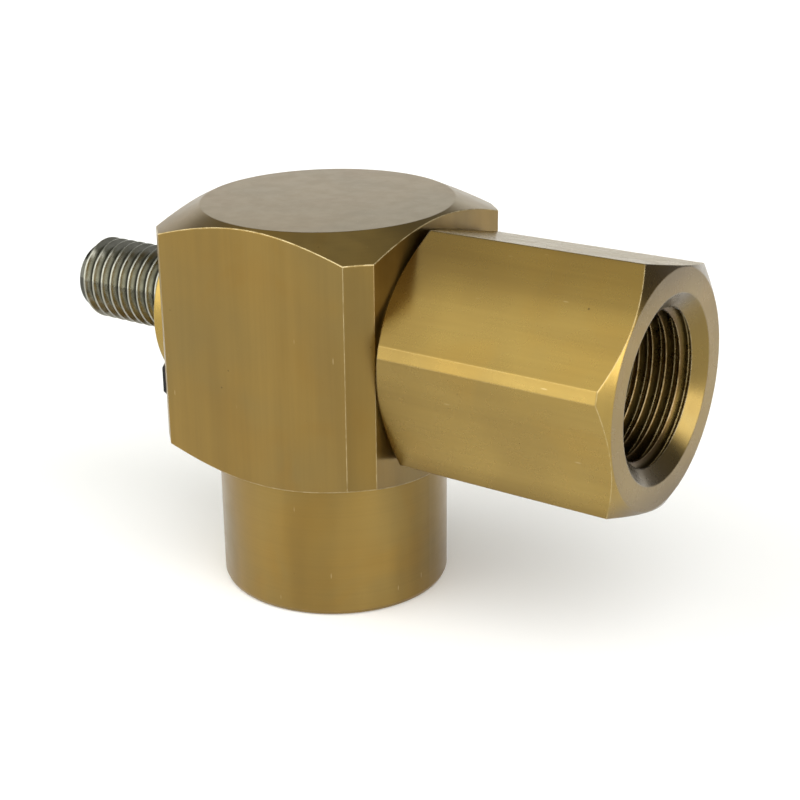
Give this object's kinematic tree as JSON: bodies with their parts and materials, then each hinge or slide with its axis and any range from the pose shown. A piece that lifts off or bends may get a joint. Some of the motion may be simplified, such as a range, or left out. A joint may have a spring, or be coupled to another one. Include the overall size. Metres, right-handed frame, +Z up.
{
  "type": "needle valve",
  "caption": "Right-angle brass needle valve: square body block with round inlet boss below, hexagonal outlet connector, gland nut and threaded stem that drives a tapered needle.",
  "frame": {"origin": "centre of the inlet's face, at the bottom of the boss", "axes": "+Z up along the inlet's axis into the valve; +X from the stem towards the outlet, parallel to the stem's axis, which is 36.8 mm above the origin"},
  "size_m": [0.0924, 0.035, 0.054],
  "materials": {
    "body_brass": "satin",
    "connector_brass": "satin",
    "gland_brass": "satin",
    "inner_brass": "satin",
    "stainless_steel": "satin",
    "spring_steel": "satin",
    "ball_steel": "polished",
    "black_steel": "matte",
    "black_rubber": "matte",
    "seat_plastic": "matte",
    "packing_white": "matte"
  },
  "bodies": {
    "valve_body": {"body_block": "body_brass", "outlet_connector": "connector_brass", "outlet_o_ring": "black_rubber", "seat_holder": "inner_brass", "seat_insert": "seat_plastic", "seat_o_ring": "black_rubber", "gland_nut": "gland_brass", "gland_lock_washer": "black_steel", "gland_o_ring": "black_rubber", "packing_support_washer": "stainless_steel", "packing_bottom_adapter": "packing_white", "packing_v_ring_1": "packing_white", "packing_v_ring_2": "packing_white", "packing_v_ring_3": "packing_white", "packing_top_adapter": "packing_white", "packing_follower": "inner_brass"},
    "needle_carrier": {"needle": "stainless_steel", "needle_clip": "spring_steel", "thrust_ball": "ball_steel"},
    "stem_screw": {"stem": "stainless_steel"}
  },
  "joints": [
    {"name": "needle_slide", "type": "slide", "parent": "valve_body", "child": "needle_carrier", "axis": [1, 0, 0], "range_m": [-0.00263, 0.0035]},
    {"name": "stem_turn", "type": "hinge", "parent": "needle_carrier", "child": "stem_screw", "pos_m": [-0.03, 0, 0.0368], "axis": [1, 0, 0], "range_deg": [-541, 721]}
  ],
  "couplings": [
    {"joint": "stem_turn", "follows": "needle_slide", "rad_per_m": 3590.4}
  ]
}
